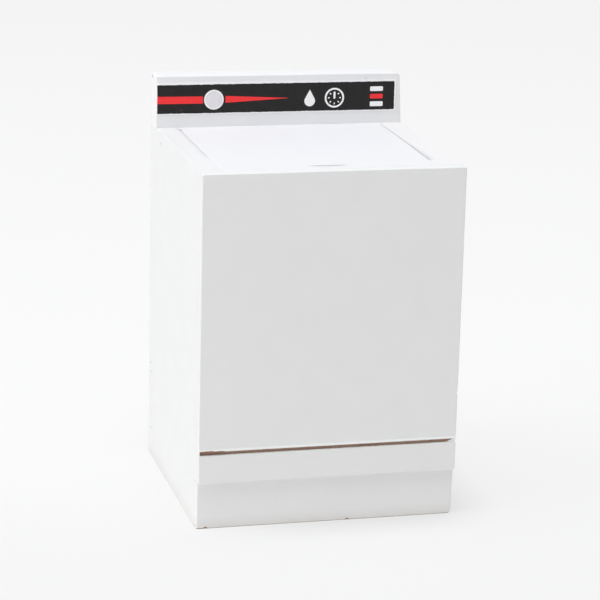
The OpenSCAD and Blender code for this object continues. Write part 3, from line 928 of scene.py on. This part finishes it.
def studio_floor():
    """Seamless white paper. The camera sees it almost white, with the machine's soft shadow left in."""
    made, tree, output = new_material("white studio paper")
    path = add(tree, "ShaderNodeLightPath")
    seen = add(tree, "ShaderNodeMath", {"operation": "MAXIMUM"},
               {0: path.outputs["Is Camera Ray"], 1: path.outputs["Is Glossy Ray"]})
    matt = add(tree, "ShaderNodeBsdfDiffuse", {"Color": linear("#EDEDEC")})
    bounce = add(tree, "ShaderNodeBsdfDiffuse", {"Color": linear("#F2F0EE")})
    place = add(tree, "ShaderNodeTexCoord").outputs["Object"]
    along = add(tree, "ShaderNodeSeparateXYZ", links={0: place})
    # Painted shade: the paper is made a little darker in front of the machine than from the machine backwards
    middle = add(tree, "ShaderNodeMapRange", {1: -0.04, 2: 0.06, "interpolation_type": "SMOOTHSTEP"},
                 {0: along.outputs["Y"]})
    paper_and_front_shade = add(tree, "ShaderNodeMix", {"data_type": "RGBA", 6: linear("#F6F6F6"), 7: linear("#FCFCFC")},
                {0: middle.outputs[0]})
    # Painted contact shadow: the glow is darkened close to the machine by ambient occlusion, except on its lit
    # left side, so that the machine sits on the paper
    near = add(tree, "ShaderNodeAmbientOcclusion", {"samples": 12, "Distance": 0.013})
    shade = add(tree, "ShaderNodeMapRange", {1: 0.5, 2: 1.0, 3: 0.84, 4: 1.0}, {0: near.outputs["AO"]})
    unlit = add(tree, "ShaderNodeMapRange", {1: -0.029, 2: 0.0, "interpolation_type": "SMOOTHSTEP"},
                {0: along.outputs["X"]})
    painted_floor_shadow = add(tree, "ShaderNodeMix", {"data_type": "FLOAT", 2: 1.0},
              {0: unlit.outputs[0], 3: shade.outputs[0]})
    glow = add(tree, "ShaderNodeEmission", {}, {"Color": paper_and_front_shade.outputs[2], "Strength": painted_floor_shadow.outputs[0]})
    shown = add(tree, "ShaderNodeMixShader", {0: 0.8}, {1: matt.outputs[0], 2: glow.outputs[0]})
    pick = add(tree, "ShaderNodeMixShader", {},
               {0: seen.outputs[0], 1: bounce.outputs[0], 2: shown.outputs[0]})
    tree.links.new(pick.outputs[0], output.inputs[0])
    return made


def lay_floor(reach=6.0):
    mesh = bpy.data.meshes.new("floor")
    edge = [(-reach, -reach, 0), (reach, -reach, 0), (reach, reach, 0), (-reach, reach, 0)]
    mesh.from_pydata(edge, [], [[0, 1, 2, 3]])
    mesh.materials.append(studio_floor())
    floor = bpy.data.objects.new("floor", mesh)
    bpy.context.scene.collection.objects.link(floor)


def fill_room():
    """Even light from all round, a little brighter behind the machine than before it."""
    world = bpy.data.worlds.new("studio")
    bpy.context.scene.world = world
    world.use_nodes = True
    tree = world.node_tree
    tree.nodes.clear()
    path = add(tree, "ShaderNodeLightPath")
    seen = add(tree, "ShaderNodeMath", {"operation": "MAXIMUM"},
               {0: path.outputs["Is Camera Ray"], 1: path.outputs["Is Transmission Ray"]})
    place = add(tree, "ShaderNodeTexCoord").outputs["Generated"]
    towards = add(tree, "ShaderNodeSeparateXYZ", links={0: place})
    room = add(tree, "ShaderNodeMapRange", {1: 0.0, 2: 0.9, 3: 0.40, 4: 0.55}, {0: towards.outputs["Y"]})
    fill = add(tree, "ShaderNodeBackground", {"Color": (1, 1, 1, 1)}, {"Strength": room.outputs[0]})
    back = add(tree, "ShaderNodeBackground", {"Color": linear("#F7F7F7"), "Strength": 1.0})
    pick = add(tree, "ShaderNodeMixShader", {},
               {0: seen.outputs[0], 1: fill.outputs[0], 2: back.outputs[0]})
    tree.links.new(pick.outputs[0], add(tree, "ShaderNodeOutputWorld").inputs[0])


lay_floor()
fill_room()


def softbox(name, place, size, level, colour, aim=Vector((0, 0, 0.04))):
    """A square softbox that faces the machine. At a level of 1 it renders a colour as written."""
    lamp = bpy.data.lights.new(name, "AREA")
    lamp.shape, lamp.size = "SQUARE", size
    lamp.energy = level * math.pi ** 2 * (Vector(place) - aim).length ** 2
    lamp.color = colour
    stand = bpy.data.objects.new(name, lamp)
    stand.location = place
    stand.rotation_euler = (Vector(place) - aim).to_track_quat("Z", "Y").to_euler()
    bpy.context.scene.collection.objects.link(stand)


softbox("overhead softbox", (-0.12, -0.15, 1.1), 0.9, 0.722, (0.937, 0.957, 1.0))
softbox("left softbox", (-1.1, -0.25, 0.5), 0.7, 0.345, (1.0, 0.995, 0.985))

# Camera, worked out from the photograph's perspective; the photograph leans by 1.4 degrees
TARGET = Vector((0.07, 0.2, 42.4)) * MM
AZIMUTH, ELEVATION, ROLL = math.radians(-14.61), math.radians(15.06), math.radians(1.43)
DISTANCE = 554.42 * MM
SENSOR_MM, LENS_MM = 36, 150.0


def stand_camera():
    """Makes the camera, looking at the target from this distance, and turns the picture by the roll."""
    away = Vector((math.sin(AZIMUTH) * math.cos(ELEVATION),
                   -math.cos(AZIMUTH) * math.cos(ELEVATION),
                   math.sin(ELEVATION)))
    right = Vector((math.cos(AZIMUTH), math.sin(AZIMUTH), 0))
    up = away.cross(right)
    rolled_right = math.cos(ROLL) * right + math.sin(ROLL) * up
    rolled_up = -math.sin(ROLL) * right + math.cos(ROLL) * up
    camera = bpy.data.objects.new("camera", bpy.data.cameras.new("camera"))
    camera.data.sensor_width = SENSOR_MM
    camera.data.lens = LENS_MM
    camera.data.clip_start, camera.data.clip_end = 0.01, 50
    stand = Matrix((rolled_right, rolled_up, away)).transposed().to_4x4()
    stand.translation = TARGET + away * DISTANCE
    camera.matrix_world = stand
    bpy.context.scene.collection.objects.link(camera)
    bpy.context.scene.camera = camera


stand_camera()

bpy.context.scene.view_settings.view_transform = "Standard"
